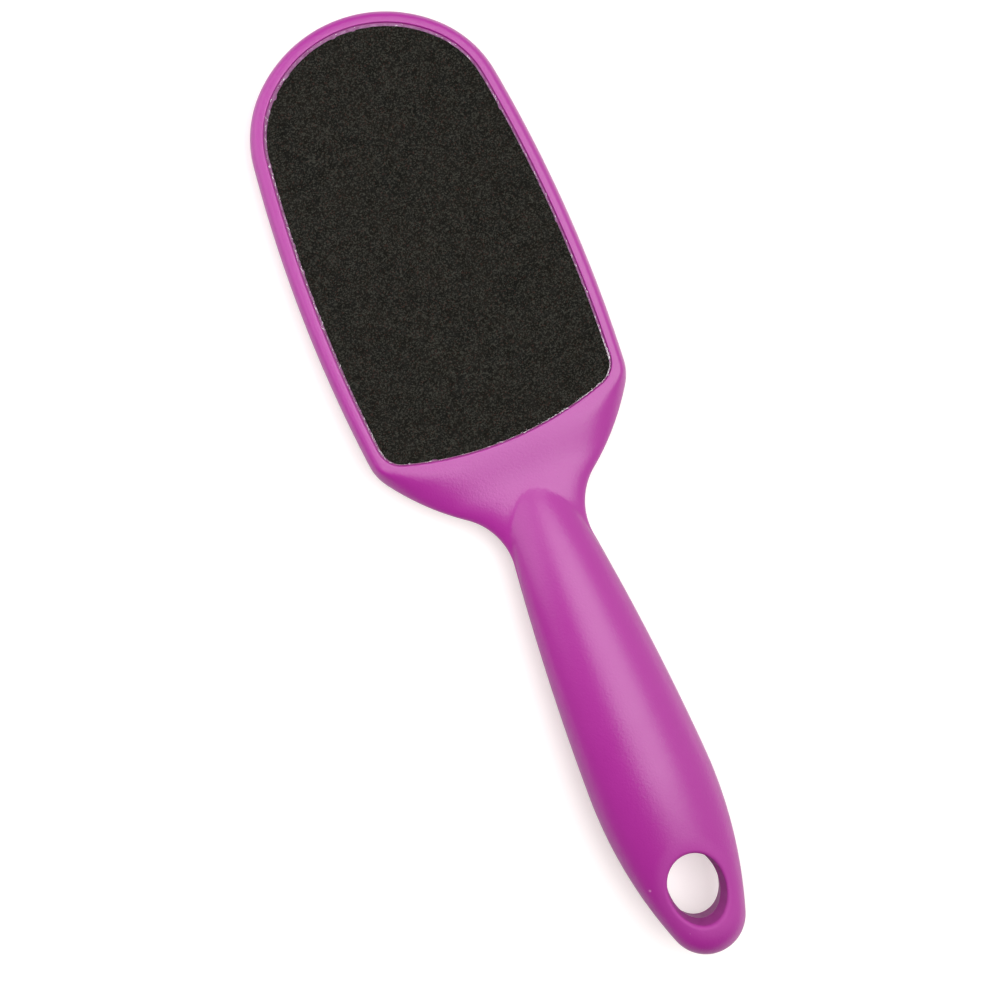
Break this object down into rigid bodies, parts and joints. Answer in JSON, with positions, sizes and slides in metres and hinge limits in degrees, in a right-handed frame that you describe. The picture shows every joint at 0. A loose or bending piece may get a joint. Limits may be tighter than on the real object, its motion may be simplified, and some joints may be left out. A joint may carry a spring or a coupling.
{
  "type": "foot file",
  "caption": "Paddle-shaped foot file with a flat oval head, an abrasive sheet recessed in each face, a thick tapering handle and an oval hang hole.",
  "frame": {"origin": "middle of the whole object, on the parting plane between the two shells", "axes": "+Y along the object towards the tip of the head, +Z square out of the front abrasive face, +X across"},
  "size_m": [0.0734, 0.259, 0.0208],
  "materials": {
    "shell_plastic": "satin moulded magenta plastic",
    "adhesive_film": "thin clear adhesive film",
    "backing_paper": "pale latex-treated paper with a cut edge",
    "abrasive_coat": "fine black mineral grains bonded in resin"
  },
  "bodies": {
    "root": {"front_shell": "shell_plastic", "front_adhesive": "adhesive_film", "front_backing": "backing_paper", "front_grit": "abrasive_coat", "rear_shell": "shell_plastic", "rear_adhesive": "adhesive_film", "rear_backing": "backing_paper", "rear_grit": "abrasive_coat"}
  },
  "joints": []
}
